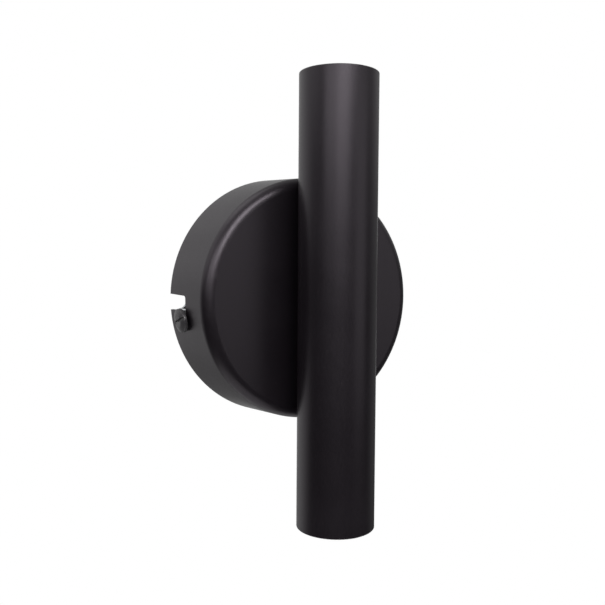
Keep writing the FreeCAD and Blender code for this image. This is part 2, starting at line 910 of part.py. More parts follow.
def holder_screws():
    seat = holder_top - holder_counterbore_depth
    length = seat - bridge_half_height + bridge_sheet + screw_past_sheet
    screw = small_screw(m3_diameter, length, m3_head_diameter, m3_head_height)
    front = placed(screw, at(0, tube_axis_depth + holder_screw_offset, seat), UP, 30)
    rear = placed(screw, at(0, tube_axis_depth - holder_screw_offset, seat), UP, 100)
    return Part.makeCompound([front, rear])


# ---------------------------------------------------------------- bulbs
def bulb_base():
    """Moulded base with a waist, and a plug that the envelope slips over."""
    collar = base_diameter / 2
    waist = base_waist_diameter / 2
    plug = envelope_diameter / 2 - envelope_wall - envelope_clearance
    low = bulb_bottom
    top = envelope_bottom
    return turned(
        [
            (at(0, tube_axis_depth, low), 0),
            (at(waist, tube_axis_depth, low), base_foot_round),
            (at(waist, tube_axis_depth, top - base_collar_height), base_edge_round),
            (at(collar, tube_axis_depth, top - base_collar_height + base_collar_slope), base_edge_round),
            (at(collar, tube_axis_depth, top), base_edge_round),
            (at(plug, tube_axis_depth, top), 0),
            (at(plug, tube_axis_depth, top + plug_height), base_edge_round),
            (at(0, tube_axis_depth, top + plug_height), 0),
        ],
        at(0, tube_axis_depth, 0),
        UP,
    )


def bulb_envelope():
    """Clear cap with a domed tip, open below."""
    radius = envelope_diameter / 2
    inner = radius - envelope_wall
    low = envelope_bottom
    high = low + envelope_length
    return turned(
        [
            (at(inner, tube_axis_depth, low), 0),
            (at(radius, tube_axis_depth, low), 0),
            (at(radius, tube_axis_depth, high), envelope_tip_radius),
            (at(0, tube_axis_depth, high), 0),
            (at(0, tube_axis_depth, high - envelope_wall), 0),
            (at(inner, tube_axis_depth, high - envelope_wall), envelope_tip_radius - envelope_wall),
        ],
        at(0, tube_axis_depth, 0),
        UP,
    )


def bulb_pins():
    """Two hairpin loops of wire below the base."""
    pins = []
    wire = pin_wire / 2
    half = pin_loop_width / 2
    bend = bulb_bottom - pin_length + wire + half
    for x in (-pin_pitch / 2, pin_pitch / 2):
        start = at(x - half, tube_axis_depth, bulb_bottom)
        left = at(x - half, tube_axis_depth, bend)
        lowest = at(x, tube_axis_depth, bend - half)
        right = at(x + half, tube_axis_depth, bend)
        end = at(x + half, tube_axis_depth, bulb_bottom)
        path = Part.Wire(
            [
                Part.LineSegment(start, left).toShape(),
                Part.Arc(left, lowest, right).toShape(),
                Part.LineSegment(right, end).toShape(),
            ]
        )
        circle = Part.Wire(Part.makeCircle(wire, start, DOWN))
        pins.append(path.makePipeShell([circle], True, False))
    return Part.makeCompound(pins)


def bulb_board():
    """Circuit strip on the base's plug, with rows of light chips on both faces."""
    low = envelope_bottom + plug_height
    middle = -tube_axis_depth
    half = board_thickness / 2
    parts = [
        box((-board_width / 2, middle - half, low), (board_width / 2, middle + half, low + board_length))
    ]
    for row in range(chip_rows):
        z = low + chip_first_row + row * chip_row_pitch
        for column in range(chip_columns):
            x = chip_column_pitch * (column - (chip_columns - 1) / 2)
            reach = half + chip_thickness
            chip = box(
                (x - chip_width / 2, middle - reach, z - chip_height / 2),
                (x + chip_width / 2, middle + reach, z + chip_height / 2),
            )
            parts.append(chip)
    return joined(parts)


# ---------------------------------------------------------------- leads
def holder_lead(name, side, end, pole, entry_depth):
    """From a holder's underside into the rod, back through the cup and into its pole."""
    near = side * lead_pitch / 2
    level = end * lead_pitch / 2
    pin = side * pin_pitch / 2
    points = [
        at(pin, tube_axis_depth, end * (bridge_half_height + lead_recess)),
        at(pin, tube_axis_depth, end * (bridge_half_height - lead_below_arm)),
        at(near, tube_axis_depth, level),
        at(near, entry_depth, level),
        at(pole, entry_depth, block_top + lead_straight),
        at(pole, entry_depth, block_top - lead_into_block),
    ]
    return lead(name, points, pocket_floor - lead_recess, lead_core_length)


def head_earth_lead():
    """From the strap's earth tag, round the left of the nut, into the earth pole."""
    pole = pole_places()[0]
    tag_depth = block_base_depth - tag_barrel_diameter / 2
    entry_depth = clamp_depth + lead_pitch / 2
    points = [
        at(-tag_barrel_start - 2, tag_depth, head_earth_height),
        at(-19.5, tag_depth, head_earth_height),
        at(-22, 18.5, 5),
        at(pole, entry_depth, block_top + lead_straight),
        at(pole, entry_depth, block_top - lead_into_block),
    ]
    return lead("head_earth_lead", points, 0, lead_core_length)


def bracket_earth_lead():
    """Slack loop from the wall bracket's earth tag into the earth pole."""
    seat = bracket_earth_seat()
    pole = pole_places()[0]
    tag_depth = bracket_sheet + tag_barrel_diameter / 2
    entry_depth = clamp_depth - lead_pitch / 2
    points = [
        at(seat.x, tag_depth, seat.z + tag_barrel_start + 2),
        at(seat.x, tag_depth, 15),
        at(-16.6, 6.5, 25),
        at(-17, 16, 25),
        at(-15.8, 17, 12),
        at(-12.4, 14.2, -3),
        at(pole, entry_depth, block_top + lead_straight),
        at(pole, entry_depth, block_top - lead_into_block),
    ]
    return lead("bracket_earth_lead", points, 0, lead_core_length)


# ---------------------------------------------------------------- all pieces
def pieces():
    made = {}
    made["back_cup"] = back_cup()
    made["tube_shell"] = tube_shell()
    made["tube_spacer"] = tube_spacer()
    made["hollow_nipple"] = hollow_nipple()
    made["nipple_bushes"] = nipple_bushes()
    made["tube_lock_washer"] = placed(lock_washer(), at(0, bridge_front_depth, 0), OUTWARDS)
    made["tube_nut"] = placed(hexagon_nut(tube_nut_thickness), at(0, tube_nut_depth, 0), OUTWARDS, 30)
    made["cup_lock_washer"] = placed(lock_washer(), at(0, strap_depth, 0), WALLWARD)
    made["cup_nut"] = placed(hexagon_nut(cup_nut_thickness), at(0, cup_nut_depth, 0), WALLWARD, 12)
    made["terminal_strap"] = terminal_strap()
    made["terminal_block"] = terminal_block()
    made["terminal_clamps"] = terminal_clamps()
    made["terminal_screws"] = terminal_screws()
    made["terminal_block_screws"] = terminal_block_screws()

    tag, washer, screw = head_earth_point()
    made["head_earth_ring"] = tag
    made["head_earth_washer"] = washer
    made["head_earth_screw"] = screw

    tag, washer, screw = bracket_earth_point()
    made["bracket_earth_ring"] = tag
    made["bracket_earth_washer"] = washer
    made["bracket_earth_screw"] = screw
    made["mounting_bracket"] = mounting_bracket()
    made["left_side_screw"] = side_screw(LEFT, left_slot_spin)
    made["right_side_screw"] = side_screw(RIGHT, right_slot_spin)

    made["lampholder_bridge"] = lampholder_bridge()
    tube_pieces = {
        "lampholder": lampholder(),
        "holder_contacts": holder_contacts(),
        "holder_screws": holder_screws(),
        "bulb_envelope": bulb_envelope(),
        "bulb_base": bulb_base(),
        "bulb_pins": bulb_pins(),
        "bulb_board": bulb_board(),
    }
    for name, shape in tube_pieces.items():
        made["upper_" + name] = shape
        made["lower_" + name] = other_end(shape)

    earth, neutral, live = pole_places()
    near_depth = clamp_depth - lead_pitch / 2
    far_depth = clamp_depth + lead_pitch / 2
    made["upper_live_lead"] = holder_lead("upper_live_lead", 1, 1, live, near_depth)
    made["upper_neutral_lead"] = holder_lead("upper_neutral_lead", -1, 1, neutral, near_depth)
    made["lower_live_lead"] = holder_lead("lower_live_lead", 1, -1, live, far_depth)
    made["lower_neutral_lead"] = holder_lead("lower_neutral_lead", -1, -1, neutral, far_depth)
    made["head_earth_lead"] = head_earth_lead()
    made["bracket_earth_lead"] = bracket_earth_lead()
    return made


os.makedirs("parts", exist_ok=True)
for node, shape in pieces().items():
    shape.exportStep("parts/" + node + ".step")
    print(node, "solids", len(shape.Solids), "volume", round(shape.Volume, 1), "valid", shape.isValid())
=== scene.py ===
"""Tube wall light: the finish of every piece, its screws, wiring and bulbs, and the studio.

Laid out as an add-on and run as a script. Lengths are in metres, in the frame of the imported
model: the wall is the plane y = 0, the light stands out towards -Y, and +Z is up.
"""

import math

import bpy
from mathutils import Matrix, Quaternion, Vector


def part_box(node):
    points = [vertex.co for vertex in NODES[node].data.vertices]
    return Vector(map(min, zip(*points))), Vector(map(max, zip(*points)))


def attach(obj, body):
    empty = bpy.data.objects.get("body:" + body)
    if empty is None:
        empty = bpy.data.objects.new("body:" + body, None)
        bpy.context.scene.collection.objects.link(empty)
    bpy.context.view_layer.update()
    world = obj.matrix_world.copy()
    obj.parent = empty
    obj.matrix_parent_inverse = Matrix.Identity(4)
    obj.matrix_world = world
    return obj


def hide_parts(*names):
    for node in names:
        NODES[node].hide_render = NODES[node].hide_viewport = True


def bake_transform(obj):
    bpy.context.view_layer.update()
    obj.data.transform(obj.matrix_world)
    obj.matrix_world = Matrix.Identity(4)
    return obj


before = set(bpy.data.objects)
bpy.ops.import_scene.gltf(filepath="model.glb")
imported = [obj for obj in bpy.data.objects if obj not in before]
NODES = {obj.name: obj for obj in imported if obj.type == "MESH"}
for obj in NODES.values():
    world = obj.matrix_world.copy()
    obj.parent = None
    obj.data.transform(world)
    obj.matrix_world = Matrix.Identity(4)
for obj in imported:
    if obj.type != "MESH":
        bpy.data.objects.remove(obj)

bl_info = {
    "name": "Tube Wall Light",
    "version": (1, 0, 0),
    "blender": (4, 5, 0),
    "location": "3D View > Sidebar > Wall Light",
    "description": "Dresses a black wall light: coat, screws, wiring, bulbs and studio",
    "category": "Object",
}

MM = 0.001
WELD = 0.001 * MM
SMOOTH_ANGLE = math.radians(38)
SIXTHS = [math.radians(60 * step) for step in range(6)]

# Studio: the floor, and the colours of the surroundings.
FLOOR_RADIUS = 0.34
FLOOR_FADE = (0.45 * FLOOR_RADIUS, 0.95 * FLOOR_RADIUS)
WHITE = (1, 1, 1, 1)
DIM_ROOM = (0.30, 0.30, 0.31, 1)
CEILING_SHARE = 0.36
FLOOR_SHARE = 0.05
LEFT_GLOW = 0.38
RIGHT_GLOW = 0.17
REAR_WHITE = 0.45

# Thread form, in shares of the pitch: depth, start and end of the crest, end of the tooth.
THREAD_DEPTH = 0.61
CREST_START = 0.40
CREST_END = 0.53
TOOTH_END = 0.93
RUN_IN = 1.37

# Side screws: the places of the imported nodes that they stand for, and the turn of their slots.
LOCK_ANGLE = math.radians(9.3)
SIDE_SCREW_DEPTH = 10.8 * MM
SIDE_HEAD_SEAT = 49.922 * MM
LEFT_SLOT_SPIN = math.radians(-72)
RIGHT_SLOT_SPIN = math.radians(65)

# The strip of light chips in each bulb.
CHIP_ROWS = 5
CHIP_ROW_PITCH = 5.2 * MM
CHIP_COLUMN_PITCH = 3.8 * MM
CHIP_FIRST_ROW = 5.0 * MM
CHIP_SIZE = (2.8 * MM, 0.7 * MM, 3.2 * MM)
CHIP_CASE_SHARE = 0.86
CHIP_FRAME = 0.32 * MM
WINDOW_DEPTH_SHARE = 0.12
SOLDER_WIDTH_SHARE = 0.36
SOLDER_REACH_SHARE = 0.09
SOLDER_HEIGHT_SHARE = 0.35

# The resistor at the foot of each strip.
RESISTOR_PLACE = 1.3 * MM
RESISTOR_HALF = Vector((0.75, 0, 0.4)) * MM
RESISTOR_HEIGHT = 0.45 * MM
CAP_HALF = Vector((0.28, 0, 0.42)) * MM
CAP_PLACE = 0.9 * MM
CAP_RISE = 1.04

# Lead routes, in millimetres: sideways place, depth in front of the wall, height.
LEAD_ROUTES = {
    "upper_live": (
        "live",
        [(4.5, 45.25, 18.5), (4.5, 45.25, 12.5), (1.1, 45.25, 1.1),
         (1.1, 13.0, 1.1), (11, 13.0, -12), (11, 13.0, -21.5)],
    ),
    "upper_neutral": (
        "neutral",
        [(-4.5, 45.25, 18.5), (-4.5, 45.25, 12.5), (-1.1, 45.25, 1.1),
         (-1.1, 13.0, 1.1), (0, 13.0, -12), (0, 13.0, -21.5)],
    ),
    "lower_live": (
        "live",
        [(4.5, 45.25, -18.5), (4.5, 45.25, -12.5), (1.1, 45.25, -1.1),
         (1.1, 15.2, -1.1), (11, 15.2, -12), (11, 15.2, -21.5)],
    ),
    "lower_neutral": (
        "neutral",
        [(-4.5, 45.25, -18.5), (-4.5, 45.25, -12.5), (-1.1, 45.25, -1.1),
         (-1.1, 15.2, -1.1), (0, 15.2, -12), (0, 15.2, -21.5)],
    ),
    "head_earth": (
        "earth",
        [(-7.2, 20.3, 20), (-19.5, 20.3, 20), (-22, 18.5, 5), (-11, 15.2, -12),
         (-11, 15.2, -21.5)],
    ),
    "bracket_earth": (
        "earth",
        [(-15.79, 3.2, 4.61), (-15.79, 3.2, 15), (-16.6, 6.5, 25), (-17, 16, 25),
         (-15.8, 17, 12), (-12.4, 14.2, -3), (-11, 13.0, -12), (-11, 13.0, -21.5)],
    ),
}
BARE_IN_HOLDER = 2.4 * MM
BARE_IN_BLOCK = 8.0 * MM


# ---------------------------------------------------------------- shader maths
class Value:
    """The number on a node's output; arithmetic on it adds Math nodes."""

    def __init__(self, finish, socket):
        self.finish = finish
        self.socket = socket

    def maths(self, operation, *values):
        sockets = dict(enumerate(values))
        return self.finish.node("Math", {"operation": operation}, sockets)

    def __add__(self, other):
        return self.maths("ADD", self, other)

    def __radd__(self, other):
        return self.maths("ADD", other, self)

    def __sub__(self, other):
        return self.maths("SUBTRACT", self, other)

    def __rsub__(self, other):
        return self.maths("SUBTRACT", other, self)

    def __mul__(self, other):
        return self.maths("MULTIPLY", self, other)

    def __rmul__(self, other):
        return self.maths("MULTIPLY", other, self)


class Finish:
    """A material or a world being made: its node tree, and short names for the nodes it uses."""

    def __init__(self, owner):
        self.owner = owner
        owner.use_nodes = True
        self.tree = owner.node_tree

    def node(self, kind, settings=None, sockets=None, output=0):
        """Adds a node: its settings, then the values or links of its sockets; gives an output."""
        made = self.tree.nodes.new("ShaderNode" + kind)
        for name, setting in (settings or {}).items():
            setattr(made, name, setting)
        for name, value in (sockets or {}).items():
            self.feed(made.inputs[name], value)
        return Value(self, made.outputs[output])

    def feed(self, socket, value):
        if isinstance(value, Value):
            self.tree.links.new(value.socket, socket)
        else:
            socket.default_value = value

    def place(self, centre=(0, 0, 0), stretch=(1, 1, 1)):
        """Object coordinates measured from a centre."""
        coordinates = self.node("TexCoord", output="Object")
        if centre == (0, 0, 0) and stretch == (1, 1, 1):
            return coordinates
        shift = tuple(-c * s for c, s in zip(centre, stretch))
        return self.node(
            "Mapping", sockets={"Vector": coordinates, "Location": shift, "Scale": stretch}
        )

    def noise(self, size, detail=2.0, roughness=0.5, place=None):
        """Noise whose lumps are about one size across, from 0 to 1."""
        sockets = {
            "Vector": place or self.place(),
            "Scale": 1 / size,
            "Detail": detail,
            "Roughness": roughness,
        }
        return self.node("TexNoise", sockets=sockets, output="Fac")

    def cells(self, size, place=None):
        """Distance to the nearest of points scattered about one size apart."""
        sockets = {"Vector": place or self.place(), "Scale": 1 / size}
        return self.node("TexVoronoi", sockets=sockets, output="Distance")

    def step(self, value, low, high):
        """A smooth step from 0 below low to 1 above high."""
        sockets = {"Value": value, "From Min": low, "From Max": high}
        return self.node("MapRange", {"interpolation_type": "SMOOTHSTEP"}, sockets)

    def axis(self, index, place=None):
        """One coordinate of a place."""
        return self.node("SeparateXYZ", sockets={0: place or self.place()}, output=index)

    def distance(self, centre):
        """Distance from a point."""
        sockets = {0: self.place(), 1: centre}
        return self.node("VectorMath", {"operation": "DISTANCE"}, sockets, "Value")

    def mix(self, factor, first, second):
        """A colour between two colours."""
        sockets = {0: factor, 6: first, 7: second}
        return self.node("Mix", {"data_type": "RGBA"}, sockets, 2)

    def bump(self, height, distance, strength=1.0):
        sockets = {"Height": height, "Distance": distance, "Strength": strength}
        return self.node("Bump", sockets=sockets)

    def shade(self, **sockets):
        """Feeds the surface shader's sockets, named with underscores for spaces."""
        shader = self.tree.nodes["Principled BSDF"]
        for name, value in sockets.items():
            self.feed(shader.inputs[name.replace("_", " ")], value)
        return self.owner


def new_finish(name):
    return Finish(bpy.data.materials.new(name))


def opaque(colour):
    return (*colour[:3], 1.0)


# ---------------------------------------------------------------- finishes
def black_coat(looks):
    """Satin powder coat: faint orange peel, fine specks, slightly uneven sheen."""
    coat = new_finish("black_powder_coat")
    peel = coat.noise(0.9 * MM, detail=3.0, roughness=0.55)
    grain = coat.noise(0.22 * MM, detail=1.0)
    cloud = coat.noise(22 * MM, detail=2.0)
    speck = 1 - coat.step(coat.cells(1.9 * MM), 0.05, 0.11)
    sheen = looks.coat_roughness + (cloud - 0.5) * 0.10 + (peel - 0.5) * 0.12 + speck * 0.1
    faded = coat.mix(cloud, opaque(looks.coat_colour), opaque(looks.coat_faded))
    return coat.shade(
        Base_Color=coat.mix(speck * 0.5, faded, opaque(looks.coat_specks)),
        Roughness=sheen,
        Specular_IOR_Level=looks.coat_gloss,
        Specular_Tint=opaque(looks.coat_tint),
        Normal=coat.bump(peel * 0.7 + grain * 0.3, 0.02 * MM, looks.coat_peel),
    )


def blackened_screw(looks):
    """Blackened steel, oily in places, with the bright metal just showing on worn spots."""
    black = new_finish("blackened_steel")
    smear = black.noise(1.6 * MM, detail=3.0)
    pits = black.noise(0.25 * MM, detail=2.0)
    worn = black.step(black.noise(0.7 * MM, detail=4.0), 0.64, 0.78)
    return black.shade(
        Base_Color=black.mix(worn, opaque(looks.screw_colour), opaque(looks.screw_worn)),
        Metallic=0.35 + worn * 0.5,
        Roughness=0.34 + (smear - 0.5) * 0.3 - worn * 0.08,
        Normal=black.bump(pits, 0.02 * MM, 0.5),
    )


def plated(name, colour, dull_colour, roughness, lump=5 * MM, grain_along=0):
    """Plated or drawn metal: cloudy dulling, and fine scratches along one axis."""
    metal = new_finish(name)
    stretch = tuple(0.06 if axis == grain_along else 1 for axis in range(3))
    cloud = metal.noise(lump, detail=3.0)
    drawn = metal.noise(0.25 * MM, detail=2.0, place=metal.place(stretch=stretch))
    dull = metal.step(cloud, 0.35, 0.75)
    return metal.shade(
        Base_Color=metal.mix(dull, opaque(colour), opaque(dull_colour)),
        Metallic=1.0,
        Roughness=roughness + (drawn - 0.5) * 0.25 + (dull - 0.5) * 0.12,
        Normal=metal.bump(drawn, 0.01 * MM, 0.3),
    )


def passivated(name, stretch_axis):
    """Blue-passivated zinc plate, its tint drifting to straw in patches."""
    zinc = new_finish(name)
    stretch = tuple(0.06 if axis == stretch_axis else 1 for axis in range(3))
    cloud = zinc.noise(8 * MM, detail=3.0)
    bloom = zinc.noise(2.5 * MM, detail=4.0, roughness=0.6)
    drawn = zinc.noise(0.2 * MM, detail=2.0, place=zinc.place(stretch=stretch))
    tint = zinc.mix(zinc.step(cloud, 0.35, 0.7), (0.60, 0.63, 0.67, 1), (0.63, 0.61, 0.55, 1))
    stain = zinc.step(bloom, 0.62, 0.74)
    return zinc.shade(
        Base_Color=zinc.mix(stain * 0.5, tint, (0.40, 0.41, 0.42, 1)),
        Metallic=1.0,
        Roughness=0.30 + (drawn - 0.5) * 0.22 + stain * 0.18,
        Normal=zinc.bump(drawn, 0.01 * MM, 0.3),
    )


def moulded(name, colour, shade_colour, roughness, lump=3.5 * MM, grain=0.3 * MM, gloss=0.5):
    """Moulded plastic or fired ceramic with a faint mottle."""
    body = new_finish(name)
    cloud = body.noise(lump, detail=3.0)
    fine = body.noise(grain, detail=2.0)
    return body.shade(
        Base_Color=body.mix(body.step(cloud, 0.3, 0.8), opaque(colour), opaque(shade_colour)),
        Roughness=roughness + (fine - 0.5) * 0.15,
        Specular_IOR_Level=gloss,
        Normal=body.bump(fine, 0.02 * MM, 0.4),
    )


def fired_ceramic():
    """Unglazed steatite: off-white, chalky, with small dark flecks."""
    fired = new_finish("fired_steatite")
    cloud = fired.noise(4 * MM, detail=4.0)
    grit = fired.noise(0.18 * MM, detail=2.0)
    fleck = 1 - fired.step(fired.cells(1.3 * MM), 0.04, 0.09)
    tone = fired.mix(fired.step(cloud, 0.3, 0.75), (0.78, 0.76, 0.70, 1), (0.70, 0.67, 0.60, 1))
    return fired.shade(
        Base_Color=fired.mix(fleck * 0.5, tone, (0.30, 0.27, 0.23, 1)),
        Roughness=0.62 + (grit - 0.5) * 0.2,
        Normal=fired.bump(grit, 0.03 * MM, 0.6),
    )


def clear_cap():
    """Clear moulded cap, with a faint haze."""
    clear = new_finish("clear_cap")
    haze = clear.noise(3 * MM, detail=2.0)
    return clear.shade(
        Base_Color=(0.97, 0.98, 0.98, 1),
        Roughness=0.03 + haze * 0.06,
        Transmission_Weight=1.0,
        IOR=1.49,
    )


def sleeve(name, colour, stripe=None):
    """Insulation with a slight gloss; an earth lead has a second colour down two sides."""
    skin = new_finish(name)
    dirt = skin.noise(2.2 * MM, detail=3.0)
    shade = tuple(0.72 * part for part in colour)
    tone = skin.mix(skin.step(dirt, 0.4, 0.8), opaque(colour), opaque(shade))
    if stripe:
        around = skin.node("UVMap")
        turn = skin.node("SeparateXYZ", sockets={0: around}, output=1)
        wave = skin.node("Math", {"operation": "PINGPONG"}, {0: turn, 1: 0.5})
        side = skin.step(wave, 0.24, 0.26)
        tone = skin.mix(side, tone, opaque(stripe))
    return skin.shade(
        Base_Color=tone,
        Roughness=0.38 + (dirt - 0.5) * 0.2,
        Normal=skin.bump(skin.noise(0.4 * MM), 0.02 * MM, 0.3),
    )


# ---------------------------------------------------------------- settings
def colour_property(name, description, default):
    return bpy.props.FloatVectorProperty(
        name=name, description=description, subtype="COLOR", size=3, min=0, max=1, default=default
    )


def share_property(name, description, default):
    return bpy.props.FloatProperty(
        name=name, description=description, subtype="FACTOR", min=0, max=1, default=default
    )


def length_property(name, description, default):
    return bpy.props.FloatProperty(
        name=name, description=description, unit="LENGTH", min=0, default=default, precision=5
    )


class WallLightLooks(bpy.types.PropertyGroup):
    """Colours and sheen of the light."""

    coat_colour: colour_property("Coat", "Colour of the powder coat", (0.0043, 0.0032, 0.0045))
    coat_faded: colour_property(
        "Coat, faded", "Colour of the coat where it is slightly faded", (0.0060, 0.0046, 0.0062)
    )
    coat_specks: colour_property(
        "Coat specks", "Colour of the fine specks in the coat", (0.020, 0.017, 0.021)
    )
    coat_roughness: share_property("Coat roughness", "How matt the powder coat is", 0.35)
    coat_gloss: share_property("Coat gloss", "Strength of the coat's mirror reflection", 0.55)
    coat_tint: colour_property("Gloss tint", "Tint of the coat's reflections", (1.0, 0.90, 1.0))
    coat_peel: share_property("Orange peel", "Depth of the coat's orange peel", 0.35)
    screw_colour: colour_property(
        "Side screws", "Colour of the side screws", (0.050, 0.047, 0.050)
    )
    screw_worn: colour_property("Worn metal", "Where a side screw is rubbed", (0.30, 0.30, 0.31))
    live_colour: colour_property("Live leads", "Colour of the live leads", (0.105, 0.040, 0.016))
    neutral_colour: colour_property(
        "Neutral leads", "Colour of the neutral leads", (0.02, 0.10, 0.42)
    )
    earth_colour: colour_property(
        "Earth leads", "First colour of the earth leads", (0.78, 0.55, 0.03)
    )
    earth_stripe: colour_property(
        "Earth stripe", "Second colour of the earth leads", (0.02, 0.23, 0.05)
    )


class WallLightSizes(bpy.types.PropertyGroup):
    """Sizes of the pieces that are modelled here."""

    side_head: length_property("Side screw head", "Diameter of a side screw's head", 9.5 * MM)
    side_head_height: length_property("Head height", "Height of a side screw's head", 2.2 * MM)
    side_head_rim: length_property("Head rim", "Height of the head's straight rim", 1.4 * MM)
    side_slot: length_property("Driver slot", "Width of a side screw's slot", 1.1 * MM)
    side_slot_depth: length_property("Driver slot depth", "Depth of the slot", 1.2 * MM)
    side_thread: length_property("Side screw thread", "Diameter of the side screws", 4.0 * MM)
    side_pitch: length_property("Side screw pitch", "Pitch of the side screws", 0.7 * MM)
    side_length: length_property("Side screw length", "Length under the head", 8.0 * MM)
    rod: length_property("Rod", "Diameter of the hollow rod", 10.0 * MM)
    rod_pitch: length_property("Rod pitch", "Pitch of the hollow rod's thread", 1.0 * MM)
    rod_bore: length_property("Rod bore", "Bore of the hollow rod", 7.0 * MM)
    rod_chamfer: length_property("Rod chamfer", "Chamfer on the rod's ends", 0.5 * MM)
    lead: length_property("Lead", "Diameter of the insulated leads", 2.0 * MM)
    core: length_property("Core", "Diameter of a lead's bare strands", 1.0 * MM)
    core_lay: length_property("Lay", "Length of one twist of the strands", 9.0 * MM)


class WallLightStage(bpy.types.PropertyGroup):
    """Camera, lamps and floor."""

    azimuth: bpy.props.FloatProperty(
        name="Azimuth",
        description="Turn of the camera from straight ahead, positive to the right",
        subtype="ANGLE",
        default=math.radians(-32.30),
    )
    elevation: bpy.props.FloatProperty(
        name="Elevation",
        description="Height of the camera's line of sight",
        subtype="ANGLE",
        default=math.radians(3.27),
    )
    roll: bpy.props.FloatProperty(
        name="Roll",
        description="Tilt of the camera about its line of sight",
        subtype="ANGLE",
        default=math.radians(0.37),
    )
    distance: bpy.props.FloatProperty(
        name="Distance",
        description="From the camera to the point that it looks at",
        unit="LENGTH",
        default=0.30732,
    )
    target: bpy.props.FloatVectorProperty(
        name="Target",
        description="The point that the camera looks at",
        subtype="TRANSLATION",
        unit="LENGTH",
        default=(0.00017, -0.0200, -0.00189),
    )
    lens: bpy.props.FloatProperty(
        name="Focal length",
        description="Focal length of the camera, in millimetres",
        unit="CAMERA",
        default=44.12,
    )
    floor_drop: bpy.props.FloatProperty(
        name="Floor drop",
        description="Depth of the floor below the middle of the cup",
        unit="LENGTH",
        default=0.36,
    )


# ---------------------------------------------------------------- modelling
def deselect():
    if bpy.context.mode != "OBJECT":
        bpy.ops.object.mode_set(mode="OBJECT")
    bpy.ops.object.select_all(action="DESELECT")


def select(*pieces):
    """Selects these pieces alone; the first is the active one."""
    deselect()
    for piece in pieces:
        piece.select_set(True)
    bpy.context.view_layer.objects.active = pieces[0]


def edit(piece):
    """Goes into edit mode on one piece, with all of it selected."""
    select(piece)
    bpy.ops.object.mode_set(mode="EDIT")
    bpy.ops.mesh.select_all(action="SELECT")


def tidy(piece):
    """Merges doubles, turns the faces outwards and goes back to object mode."""
    edit(piece)
    bpy.ops.mesh.remove_doubles(threshold=WELD)
    bpy.ops.mesh.normals_make_consistent(inside=False)
    bpy.ops.object.mode_set(mode="OBJECT")
    return piece


def put(piece, matrix):
    """Moves a piece, and leaves its place in its mesh."""
    piece.matrix_world = matrix
    select(piece)
    bpy.ops.object.transform_apply(location=True, rotation=True, scale=True)
    return piece


def pick_faces(piece, wanted):
    """Goes into edit mode with the wanted faces alone selected."""
    edit(piece)
    bpy.ops.mesh.select_mode(type="FACE")
    bpy.ops.mesh.select_all(action="DESELECT")
    bpy.ops.object.mode_set(mode="OBJECT")
    for face in piece.data.polygons:
        face.select = wanted(face)
    bpy.ops.object.mode_set(mode="EDIT")


def trace(name, points):
    """A chain of edges from point to point, extruded from one vertex."""
    deselect()
    bpy.ops.mesh.primitive_plane_add(size=MM, location=points[0])
    piece = bpy.context.object
    piece.name = name
    edit(piece)
    bpy.ops.mesh.select_mode(type="VERT")
    bpy.ops.mesh.merge(type="CENTER")
    for before, after in zip(points, points[1:]):
        step = Vector(after) - Vector(before)
        bpy.ops.mesh.extrude_vertices_move(TRANSFORM_OT_translate={"value": step})
    bpy.ops.object.mode_set(mode="OBJECT")
    bpy.ops.object.transform_apply(location=True)
    return piece


def rounded(corners, steps=5):
    """An outline of radius and height, with each corner rounded by its third number."""
    outline = []
    for index, (radius, height, rounding) in enumerate(corners):
        here = Vector((radius, height))
        if not rounding:
            outline.append(tuple(here))
            continue
        back = (Vector(corners[index - 1][:2]) - here).normalized()
        onward = (Vector(corners[index + 1][:2]) - here).normalized()
        half = back.angle(onward) / 2
        centre = here + (back + onward).normalized() * rounding / math.sin(half)
        reach = rounding / math.tan(half)
        start = here + back * reach - centre
        end = here + onward * reach - centre
        for step in range(steps + 1):
            spoke = start.slerp(end, step / steps).normalized() * rounding
            outline.append(tuple(centre + spoke))
    return outline


def lathe(name, outline, steps=64):
    """A solid turned about Z from its outline of radius and height."""
    piece = trace(name, [(radius, 0, height) for radius, height in outline])
    edit(piece)
    bpy.ops.mesh.spin(steps=steps, angle=2 * math.pi, center=(0, 0, 0), axis=(0, 0, 1))
    return tidy(piece)


def apply_modifier(piece, kind, **settings):
    modifier = piece.modifiers.new(kind.lower(), kind)
    for name, value in settings.items():
        setattr(modifier, name, value)
    select(piece)
    bpy.ops.object.modifier_apply(modifier=modifier.name)
    return piece


def carve(piece, tool, operation="DIFFERENCE"):
    """Cuts a piece with a tool, or unites them, and removes the tool."""
    apply_modifier(piece, "BOOLEAN", operation=operation, object=tool, solver="EXACT")
    bpy.data.objects.remove(tool)
    return piece


def soften(piece, width, segments=2, angle=math.radians(35)):
    """Rounds the sharp edges a little."""
    return apply_modifier(
        piece, "BEVEL", width=width, segments=segments, limit_method="ANGLE", angle_limit=angle
    )


def block(name, low, high):
    """A box between two corners."""
    deselect()
    low, high = Vector(low), Vector(high)
    bpy.ops.mesh.primitive_cube_add(size=1, location=(low + high) / 2)
    piece = bpy.context.object
    piece.name = name
    piece.scale = high - low
    bpy.ops.object.transform_apply(location=True, rotation=True, scale=True)
    return piece


def cut_flat(piece, height, keep_below):
    """Cuts a piece level and caps it."""
    edit(piece)
    bpy.ops.mesh.bisect(
        plane_co=(0, 0, height),
        plane_no=(0, 0, 1),
        use_fill=True,
        clear_outer=keep_below,
        clear_inner=not keep_below,
        threshold=WELD / 10,
    )
    bpy.ops.object.mode_set(mode="OBJECT")


